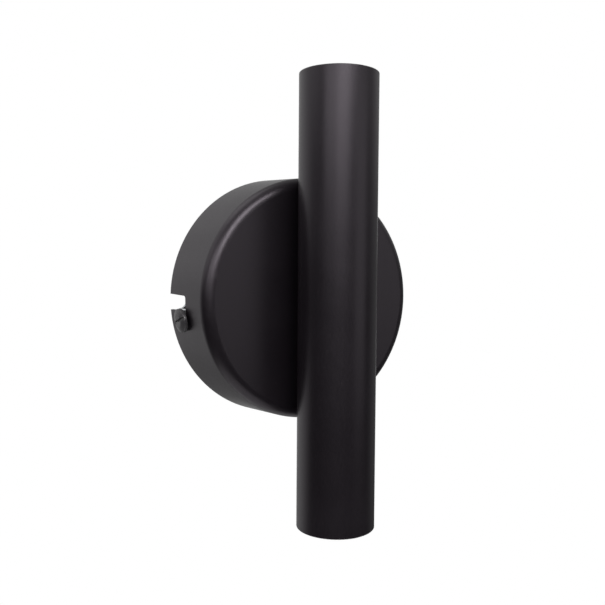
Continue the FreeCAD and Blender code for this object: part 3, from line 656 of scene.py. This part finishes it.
def threaded_bar(name, diameter, pitch, low, high, chamfer, steps=40):
    """A screw thread along Z between two heights, with chamfered ends."""
    crest = diameter / 2
    root = crest - THREAD_DEPTH * pitch
    start = low - RUN_IN * pitch
    tooth = [
        (root, 0, start),
        (crest, 0, start + CREST_START * pitch),
        (crest, 0, start + CREST_END * pitch),
        (root, 0, start + TOOTH_END * pitch),
        (root, 0, start + pitch),
    ]
    piece = trace(name, tooth)
    turns = math.ceil((high - low) / pitch) + 3
    apply_modifier(
        piece, "SCREW", screw_offset=pitch, iterations=turns, steps=steps, render_steps=steps
    )
    tidy(piece)
    cut_flat(piece, low, keep_below=False)
    cut_flat(piece, high, keep_below=True)
    tidy(piece)
    outline = [
        (0, low - MM),
        (crest - chamfer - MM, low - MM),
        (crest + MM, low - chamfer + MM),
        (crest + MM, high + chamfer - MM),
        (crest - chamfer - MM, high + MM),
        (0, high + MM),
    ]
    return carve(piece, lathe("chamfers", outline), "INTERSECT")


def bare_strands(name, foot, upward, length, sizes):
    """Seven twisted strands of wire that stand up or down from a lead's end."""
    strand = sizes.core / 6
    ring = [(2 * strand * math.cos(turn), 2 * strand * math.sin(turn)) for turn in SIXTHS]
    circles = []
    deselect()
    for x, y in [(0, 0), *ring]:
        bpy.ops.mesh.primitive_circle_add(vertices=10, radius=0.97 * strand, location=(x, y, 0))
        circles.append(bpy.context.object)
    select(*circles)
    bpy.ops.object.join()
    piece = bpy.context.object
    piece.name = name
    bpy.ops.object.transform_apply(location=True)
    twist = 2 * math.pi * length / sizes.core_lay
    apply_modifier(
        piece, "SCREW", screw_offset=length, angle=twist, iterations=1, steps=16, render_steps=16
    )
    edit(piece)
    bpy.ops.mesh.fill_holes(sides=0)
    tidy(piece)
    turn = Matrix.Rotation(0 if upward else math.pi, 4, "X")
    return put(piece, Matrix.Translation(foot) @ turn)


def complete(piece, finish, body, slot, *stands_for):
    """Smooths a piece, gives it its finish and seats it on its body."""
    select(piece)
    bpy.ops.object.shade_smooth_by_angle(angle=SMOOTH_ANGLE)
    if finish:
        piece.data.materials.clear()
        piece.data.materials.append(finish)
    if stands_for:
        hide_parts(*stands_for)
    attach(piece, body)
    return piece


def dress(finish, *names):
    """Gives CAD nodes their finish."""
    for name in names:
        NODES[name].data.materials.clear()
        NODES[name].data.materials.append(finish)


def both_ends(*names):
    """The upper and the lower node of each name."""
    return [end + "_" + name for name in names for end in ("upper", "lower")]


# ---------------------------------------------------------------- pieces
class WALLLIGHT_OT_coat(bpy.types.Operator):
    """Powder-coat the cup and the tube, and give the spacer between them a rubber finish"""

    bl_idname = "wall_light.coat"
    bl_label = "Cup and Tube"

    def execute(self, context):
        coat = black_coat(context.scene.wall_light_looks)
        dress(coat, "back_cup", "tube_shell")
        dress(moulded("rubber", (0.02, 0.02, 0.02), (0.03, 0.03, 0.03), 0.7), "tube_spacer")
        return {"FINISHED"}


class WALLLIGHT_OT_side_screws(bpy.types.Operator):
    """Make the slotted screw on each side of the cup"""

    bl_idname = "wall_light.side_screws"
    bl_label = "Side Screws"

    def execute(self, context):
        finish = blackened_screw(context.scene.wall_light_looks)
        for side, sign, spin in (("left", -1, LEFT_SLOT_SPIN), ("right", 1, RIGHT_SLOT_SPIN)):
            screw = side_screw(side + "_slotted_screw", context.scene.wall_light_sizes)
            outward = Vector((sign, 0, 0))
            facing = Vector((0, 0, 1)).rotation_difference(outward).to_matrix().to_4x4()
            seat = outward * SIDE_HEAD_SEAT + Vector((0, -SIDE_SCREW_DEPTH, 0))
            spun = Matrix.Translation(seat) @ facing @ Matrix.Rotation(spin, 4, "Z")
            put(screw, Matrix.Rotation(-LOCK_ANGLE, 4, "Y") @ spun)
            complete(screw, finish, side + "_screw", "black_screw", side + "_side_screw")
        return {"FINISHED"}


def side_screw(name, sizes):
    """A pan-head screw along Z with a driver slot, the underside of its head at z = 0."""
    radius = sizes.side_head / 2
    top = sizes.side_head_height
    corners = [
        (0, top, 0),
        (0.55 * radius, top, 1.9 * MM),
        (radius, sizes.side_head_rim, 0.42 * MM),
        (radius, 0, 0.12 * MM),
        (0, 0, 0),
    ]
    head = lathe(name, rounded(corners), steps=72)
    half = sizes.side_slot / 2
    slot_floor = top - sizes.side_slot_depth
    carve(head, block("slot", (-2 * radius, -half, slot_floor), (2 * radius, half, 2 * top)))
    soften(head, 0.07 * MM)
    low, high = -sizes.side_length, 0.3 * MM
    shank = threaded_bar("shank", sizes.side_thread, sizes.side_pitch, low, high, 0.5 * MM)
    carve(head, shank, "UNION")
    return tidy(head)


class WALLLIGHT_OT_rod(bpy.types.Operator):
    """Make the threaded hollow rod, and finish its nuts, washers and bushes"""

    bl_idname = "wall_light.rod"
    bl_label = "Hollow Rod"

    def execute(self, context):
        sizes = context.scene.wall_light_sizes
        low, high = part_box("hollow_nipple")
        rod = threaded_bar(
            "threaded_rod", sizes.rod, sizes.rod_pitch, low.y, high.y, sizes.rod_chamfer, steps=56
        )
        bore = sizes.rod_bore / 2
        outline = [(0, low.y - MM), (bore, low.y - MM), (bore, high.y + MM), (0, high.y + MM)]
        carve(rod, lathe("bore", outline))
        put(rod, Matrix.Rotation(math.radians(-90), 4, "X"))
        steel = plated("rod_steel", (0.60, 0.60, 0.58), (0.42, 0.41, 0.38), 0.38, grain_along=1)
        complete(rod, steel, "lamp_head", "zinc_rod", "hollow_nipple")
        brass = plated("nut_brass", (0.70, 0.52, 0.24), (0.50, 0.36, 0.17), 0.32)
        dress(brass, "cup_nut", "tube_nut")
        spring = plated("lock_washer_steel", (0.50, 0.50, 0.50), (0.34, 0.34, 0.34), 0.40)
        dress(spring, "cup_lock_washer", "tube_lock_washer")
        plastic = moulded("bush_plastic", (0.72, 0.70, 0.64), (0.64, 0.61, 0.54), 0.45)
        dress(plastic, "nipple_bushes")
        return {"FINISHED"}


class WALLLIGHT_OT_bracket(bpy.types.Operator):
    """Finish the wall bracket and its earth point"""

    bl_idname = "wall_light.bracket"
    bl_label = "Wall Bracket"

    def execute(self, context):
        dress(passivated("bracket_zinc", 0), "mounting_bracket")
        brass = plated("screw_brass", (0.72, 0.55, 0.27), (0.55, 0.40, 0.19), 0.30)
        dress(brass, "bracket_earth_screw", "head_earth_screw")
        spring = plated("spring_steel", (0.48, 0.48, 0.49), (0.33, 0.33, 0.34), 0.36)
        dress(spring, "bracket_earth_washer", "head_earth_washer")
        tin = plated("tinned_copper", (0.74, 0.73, 0.70), (0.58, 0.55, 0.50), 0.42)
        dress(tin, "bracket_earth_ring", "head_earth_ring")
        return {"FINISHED"}


class WALLLIGHT_OT_terminals(bpy.types.Operator):
    """Finish the strap, the terminal block and its brass"""

    bl_idname = "wall_light.terminals"
    bl_label = "Terminal Block"

    def execute(self, context):
        dress(passivated("strap_zinc", 2), "terminal_strap")
        plastic = moulded("polyamide", (0.80, 0.80, 0.77), (0.73, 0.72, 0.68), 0.42)
        dress(plastic, "terminal_block")
        brass = plated("clamp_brass", (0.72, 0.55, 0.27), (0.55, 0.40, 0.19), 0.35)
        dress(brass, "terminal_clamps")
        zinc = plated("screw_zinc", (0.62, 0.63, 0.65), (0.45, 0.45, 0.44), 0.33, lump=2 * MM)
        dress(zinc, "terminal_screws", "terminal_block_screws", *both_ends("holder_screws"))
        return {"FINISHED"}


class WALLLIGHT_OT_wiring(bpy.types.Operator):
    """Run the leads, with their ends stripped to twisted strands"""

    bl_idname = "wall_light.wiring"
    bl_label = "Wiring"

    def execute(self, context):
        looks = context.scene.wall_light_looks
        sizes = context.scene.wall_light_sizes
        sleeves = {
            "live": sleeve("live_sleeve", looks.live_colour),
            "neutral": sleeve("neutral_sleeve", looks.neutral_colour),
            "earth": sleeve("earth_sleeve", looks.earth_colour, looks.earth_stripe),
        }
        copper = plated("copper_strands", (0.80, 0.42, 0.27), (0.55, 0.28, 0.18), 0.35, 2 * MM, 2)
        for name, (kind, points) in LEAD_ROUTES.items():
            route = [Vector((x, -depth, z)) * MM for x, depth, z in points]
            wire = lead(name + "_wire", route, sleeves[kind], sizes.lead)
            bare = [bare_strands("strands", route[-1], False, BARE_IN_BLOCK, sizes)]
            if kind != "earth":
                upward = route[0].z > 0
                bare.append(bare_strands("strands", route[0], upward, BARE_IN_HOLDER, sizes))
            for strands in bare:
                strands.data.materials.append(copper)
            if name == "bracket_earth":
                hang_lead(wire, bare[0], route)
                continue
            select(wire, *bare)
            bpy.ops.object.join()
            complete(wire, None, "lamp_head", kind + "_sleeve", name + "_lead")
        return {"FINISHED"}


def nurbs_curve(name, route, bevel):
    """A smooth line that a route's points pull on."""
    data = bpy.data.curves.new(name, "CURVE")
    data.dimensions = "3D"
    data.resolution_u = 10
    data.bevel_depth = bevel
    data.bevel_resolution = 5
    data.use_fill_caps = True
    spline = data.splines.new("NURBS")
    spline.points.add(len(route) - 1)
    for point, place in zip(spline.points, route):
        point.co = (*place, 1)
    spline.order_u = 3
    spline.use_endpoint_u = True
    curve = bpy.data.objects.new(name, data)
    bpy.context.scene.collection.objects.link(curve)
    return curve


def lead(name, route, finish, diameter):
    """An insulated lead as a mesh tube that follows its smooth line."""
    curve = nurbs_curve(name, route, diameter / 2)
    select(curve)
    bpy.ops.object.convert(target="MESH")
    tube = tidy(bpy.context.object)
    tube.data.materials.append(finish)
    return tube


def centre_line(route):
    """Points down the middle of a lead, read from its smooth line."""
    curve = nurbs_curve("line", route, 0)
    mesh = bpy.data.meshes.new_from_object(curve)
    points = [tuple(vertex.co) for vertex in mesh.vertices]
    bpy.data.objects.remove(curve)
    bpy.data.meshes.remove(mesh)
    return points


def hang_lead(wire, strands, route):
    """The slack earth lead between the bracket and the head: seats its bare strands on the head,
    smooths the lead, hides the imported lead and bakes the lead's place into its mesh.
    """
    complete(strands, None, "lamp_head", "earth_sleeve")
    strands.name = "bracket_earth_strands"
    select(wire)
    bpy.ops.object.shade_smooth_by_angle(angle=SMOOTH_ANGLE)
    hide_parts("bracket_earth_lead")
    line = centre_line(route)
    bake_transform(wire)


class WALLLIGHT_OT_holders(bpy.types.Operator):
    """Finish the lampholders, their contacts and the strip that carries them"""

    bl_idname = "wall_light.holders"
    bl_label = "Lampholders"

    def execute(self, context):
        dress(passivated("bridge_zinc", 2), "lampholder_bridge")
        dress(fired_ceramic(), *both_ends("lampholder"))
        nickel = plated("contact_nickel", (0.66, 0.63, 0.56), (0.50, 0.46, 0.38), 0.35)
        dress(nickel, *both_ends("holder_contacts"))
        return {"FINISHED"}


class WALLLIGHT_OT_bulbs(bpy.types.Operator):
    """Finish the two small bulbs, and make the strip of light chips in each"""

    bl_idname = "wall_light.bulbs"
    bl_label = "Bulbs"

    def execute(self, context):
        dress(clear_cap(), *both_ends("bulb_envelope"))
        base = moulded("bulb_plastic", (0.82, 0.82, 0.80), (0.76, 0.75, 0.72), 0.30)
        dress(base, *both_ends("bulb_base"))
        pins = plated("pin_wire", (0.68, 0.66, 0.60), (0.50, 0.47, 0.41), 0.32, lump=1.5 * MM)
        dress(pins, *both_ends("bulb_pins"))
        finishes = [
            moulded("white_board", (0.80, 0.80, 0.77), (0.74, 0.73, 0.69), 0.40),
            moulded("chip_case", (0.84, 0.83, 0.78), (0.78, 0.77, 0.71), 0.5, grain=0.1 * MM),
            moulded("phosphor", (0.86, 0.62, 0.10), (0.80, 0.54, 0.07), 0.25, lump=0.5 * MM),
            plated("solder", (0.62, 0.62, 0.61), (0.48, 0.48, 0.47), 0.28, lump=MM),
            moulded("resistor", (0.02, 0.02, 0.02), (0.03, 0.03, 0.03), 0.35, grain=0.1 * MM),
        ]
        for end in ("upper", "lower"):
            strip = light_strip(end, finishes)
            complete(strip, None, end + "_bulb", "light_board", end + "_bulb_board")
        return {"FINISHED"}


def light_strip(end, finishes):
    """White strip with rows of chips on both faces, and small parts at its foot."""
    low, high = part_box(end + "_bulb_board")
    middle = (low + high) / 2
    inner, outward = (low.z, 1) if end == "upper" else (high.z, -1)
    half = Vector((high.x - low.x, 0, high.z - low.z)) / 2
    half.y = (high.y - low.y) / 2 - CHIP_SIZE[1]
    strip = block(end + "_light_strip", middle - half, middle + half)
    soften(strip, 0.12 * MM)
    strip.data.materials.append(finishes[0])
    parts = [strip]
    for face in (-1, 1):
        surface = middle.y + face * half.y
        for row in range(CHIP_ROWS):
            height = inner + outward * (CHIP_FIRST_ROW + row * CHIP_ROW_PITCH)
            for side in (-0.5, 0.5):
                spot = Vector((middle.x + side * CHIP_COLUMN_PITCH, surface, height))
                parts += light_chip(spot, face, finishes)
        spot = Vector((middle.x, surface, inner + outward * RESISTOR_PLACE))
        parts += resistor(spot, face, finishes)
    select(*parts)
    bpy.ops.object.join()
    return strip


def light_chip(spot, face, finishes):
    """A case with a sunk yellow window, between two fillets of solder."""
    width, thick, tall = CHIP_SIZE
    half = Vector((width, 0, CHIP_CASE_SHARE * tall)) / 2
    out = Vector((0, face * thick, 0))
    chip = block("chip", spot - half, spot + half + out)
    soften(chip, 0.06 * MM)
    chip.data.materials.append(finishes[1])
    chip.data.materials.append(finishes[2])
    pick_faces(chip, lambda one: one.normal.y * face > 0.99)
    bpy.ops.mesh.inset(thickness=CHIP_FRAME)
    bpy.context.object.active_material_index = 1
    bpy.ops.object.material_slot_assign()
    bpy.ops.transform.translate(value=-out * WINDOW_DEPTH_SHARE)
    bpy.ops.object.mode_set(mode="OBJECT")
    solder = []
    for side in (-1, 1):
        middle = spot + Vector((0, 0, side * tall / 2))
        reach = Vector((SOLDER_WIDTH_SHARE * width, 0, SOLDER_REACH_SHARE * tall))
        fillet = block("solder", middle - reach, middle + reach + out * SOLDER_HEIGHT_SHARE)
        soften(fillet, 0.2 * MM, segments=3)
        fillet.data.materials.append(finishes[3])
        solder.append(fillet)
    return [chip, *solder]


def resistor(spot, face, finishes):
    """A small black part lying across the strip, with a soldered cap at each end."""
    out = Vector((0, face * RESISTOR_HEIGHT, 0))
    body = block("resistor", spot - RESISTOR_HALF, spot + RESISTOR_HALF + out)
    soften(body, 0.05 * MM)
    body.data.materials.append(finishes[4])
    caps = []
    for side in (-1, 1):
        middle = spot + Vector((side * CAP_PLACE, 0, 0))
        cap = block("solder", middle - CAP_HALF, middle + CAP_HALF + out * CAP_RISE)
        soften(cap, 0.1 * MM)
        cap.data.materials.append(finishes[3])
        caps.append(cap)
    return [body, *caps]


# ---------------------------------------------------------------- studio
class WALLLIGHT_OT_stage(bpy.types.Operator):
    """Set up the camera, the floor, the white surroundings and the lamps"""

    bl_idname = "wall_light.stage"
    bl_label = "Set Up the Studio"

    def execute(self, context):
        stage = context.scene.wall_light_stage
        add_camera(context.scene, stage)
        add_floor(stage)
        set_world(context.scene)
        add_lamps()
        context.scene.view_settings.view_transform = "Standard"
        return {"FINISHED"}


def direction(azimuth, elevation):
    """The way towards a place round the light; azimuth 0 is straight ahead of it."""
    flat = math.cos(elevation)
    return Vector(
        (math.sin(azimuth) * flat, -math.cos(azimuth) * flat, math.sin(elevation))
    )


def add_camera(scene, stage):
    camera_data = bpy.data.cameras.new("camera")
    camera_data.lens = stage.lens
    camera_data.clip_start = 0.01
    camera = bpy.data.objects.new("camera", camera_data)
    scene.collection.objects.link(camera)
    back = direction(stage.azimuth, stage.elevation)
    facing = (-back).to_track_quat("-Z", "Y") @ Quaternion((0, 0, 1), stage.roll)
    place = Matrix.Translation(Vector(stage.target) + back * stage.distance)
    camera.matrix_world = place @ facing.to_matrix().to_4x4()
    scene.camera = camera


def add_floor(stage):
    """Pale round floor, far below the light, that fades into the white surroundings."""
    bpy.ops.object.select_all(action="DESELECT")
    bpy.ops.mesh.primitive_circle_add(
        vertices=96, radius=FLOOR_RADIUS, fill_type="NGON", location=(0, 0, -stage.floor_drop)
    )
    floor = bpy.context.object
    floor.name = "floor"
    bpy.ops.object.transform_apply(location=True)
    pale = new_finish("pale_floor")
    white = pale.node("Emission", sockets={"Color": WHITE, "Strength": 1.0})
    pale.shade(Base_Color=(0.80, 0.80, 0.79, 1), Roughness=0.7)
    surface = Value(pale, pale.tree.nodes["Principled BSDF"].outputs[0])
    rays = pale.node("LightPath", output="Is Camera Ray")
    edge = pale.step(pale.distance((0, 0, -stage.floor_drop)), *FLOOR_FADE)
    whole = pale.node("MixShader", sockets={0: rays * edge, 1: surface, 2: white})
    pale.feed(pale.tree.nodes["Material Output"].inputs["Surface"], whole)
    floor.data.materials.append(pale.owner)


def glow(world, towards, azimuth, elevation, edge, core):
    """A round patch of the surroundings: 1 in its core, fading to 0 at its edge, in degrees."""
    middle = direction(math.radians(azimuth), math.radians(elevation))
    facing = world.node(
        "VectorMath", {"operation": "DOT_PRODUCT"}, {0: towards, 1: middle}, "Value"
    )
    return world.step(facing, math.cos(math.radians(edge)), math.cos(math.radians(core)))


def set_world(scene):
    """White for the eye; reflections find white behind the light, and a dim room elsewhere."""
    world = Finish(bpy.data.worlds.new("studio"))
    scene.world = world.owner
    towards = world.node("TexCoord", output="Generated")
    camera = world.node("LightPath", output="Is Camera Ray")
    glossy = world.node("LightPath", output="Is Glossy Ray")
    through = world.node("LightPath", output="Is Transmission Ray")
    floor = 1 - world.step(world.axis(2, towards), -0.25, 0.0)
    ceiling = world.step(world.axis(2, towards), 0.0, 0.25)
    room = ceiling * CEILING_SHARE + floor * FLOOR_SHARE
    room = room + glow(world, towards, -148, -3, 36, 10) * LEFT_GLOW
    room = room + glow(world, towards, 95, 0, 30, 8) * RIGHT_GLOW
    room = world.mix(glow(world, towards, -165, 5, 56, 14) * REAR_WHITE, room, WHITE)
    reflected = world.mix(glow(world, towards, 148, -2, 30, 10), room, WHITE)
    seen = world.mix(glossy, DIM_ROOM, reflected)
    plain = world.node("Math", {"operation": "MAXIMUM"}, {0: camera, 1: through})
    background = world.tree.nodes["Background"]
    world.feed(background.inputs["Color"], world.mix(plain, seen, WHITE))
    world.feed(background.inputs["Strength"], 1.0)


def add_lamp(name, azimuth, elevation, distance, width, height, radiance):
    """A soft box that faces the light."""
    lamp_data = bpy.data.lights.new(name, "AREA")
    lamp_data.shape = "RECTANGLE"
    lamp_data.size = width
    lamp_data.size_y = height
    lamp_data.energy = radiance * math.pi * width * height
    lamp = bpy.data.objects.new(name, lamp_data)
    bpy.context.scene.collection.objects.link(lamp)
    back = direction(math.radians(azimuth), math.radians(elevation))
    place = Matrix.Translation(back * distance)
    lamp.matrix_world = place @ (-back).to_track_quat("-Z", "Y").to_matrix().to_4x4()
    lamp.visible_camera = False


def add_lamps():
    """Soft boxes: azimuth, elevation, distance, width, height and radiance of each."""
    add_lamp("key_box", -5, 34, 1.6, 1.0, 0.6, 6.9)
    add_lamp("left_box", -50, 22, 1.5, 1.2, 0.6, 2.3)
    add_lamp("middle_box", -20, 20, 1.5, 0.8, 0.6, 2.2)
    add_lamp("right_box", 33, 4, 1.5, 0.9, 0.8, 0.65)
    add_lamp("rim_box", -105, 30, 1.5, 0.8, 0.8, 0.75)
    add_lamp("top_box", -120, 70, 1.6, 1.0, 1.0, 1.2)
    add_lamp("rear_box", -144, 48, 1.6, 1.0, 1.0, 0.3)


class WALLLIGHT_PT_panel(bpy.types.Panel):
    """The wall light's settings and steps"""

    bl_idname = "WALLLIGHT_PT_panel"
    bl_label = "Wall Light"
    bl_space_type = "VIEW_3D"
    bl_region_type = "UI"
    bl_category = "Wall Light"

    def draw(self, context):
        for operator in OPERATORS:
            self.layout.operator(operator.bl_idname)
        scene = context.scene
        for group in (scene.wall_light_looks, scene.wall_light_sizes, scene.wall_light_stage):
            for name in group.bl_rna.properties.keys():
                if name not in ("rna_type", "name"):
                    self.layout.prop(group, name)


OPERATORS = (
    WALLLIGHT_OT_stage,
    WALLLIGHT_OT_wiring,
    WALLLIGHT_OT_coat,
    WALLLIGHT_OT_side_screws,
    WALLLIGHT_OT_rod,
    WALLLIGHT_OT_bracket,
    WALLLIGHT_OT_terminals,
    WALLLIGHT_OT_holders,
    WALLLIGHT_OT_bulbs,
)
GROUPS = (WallLightLooks, WallLightSizes, WallLightStage)
CLASSES = (*GROUPS, *OPERATORS, WALLLIGHT_PT_panel)


def register():
    for one in CLASSES:
        bpy.utils.register_class(one)
    bpy.types.Scene.wall_light_looks = bpy.props.PointerProperty(type=WallLightLooks)
    bpy.types.Scene.wall_light_sizes = bpy.props.PointerProperty(type=WallLightSizes)
    bpy.types.Scene.wall_light_stage = bpy.props.PointerProperty(type=WallLightStage)


def unregister():
    del bpy.types.Scene.wall_light_stage
    del bpy.types.Scene.wall_light_sizes
    del bpy.types.Scene.wall_light_looks
    for one in reversed(CLASSES):
        bpy.utils.unregister_class(one)


def main():
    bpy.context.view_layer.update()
    register()
    bpy.ops.wall_light.stage()
    bpy.ops.wall_light.wiring()
    bpy.ops.wall_light.coat()
    bpy.ops.wall_light.side_screws()
    bpy.ops.wall_light.rod()
    bpy.ops.wall_light.bracket()
    bpy.ops.wall_light.terminals()
    bpy.ops.wall_light.holders()
    bpy.ops.wall_light.bulbs()


if __name__ == "__main__":
    main()
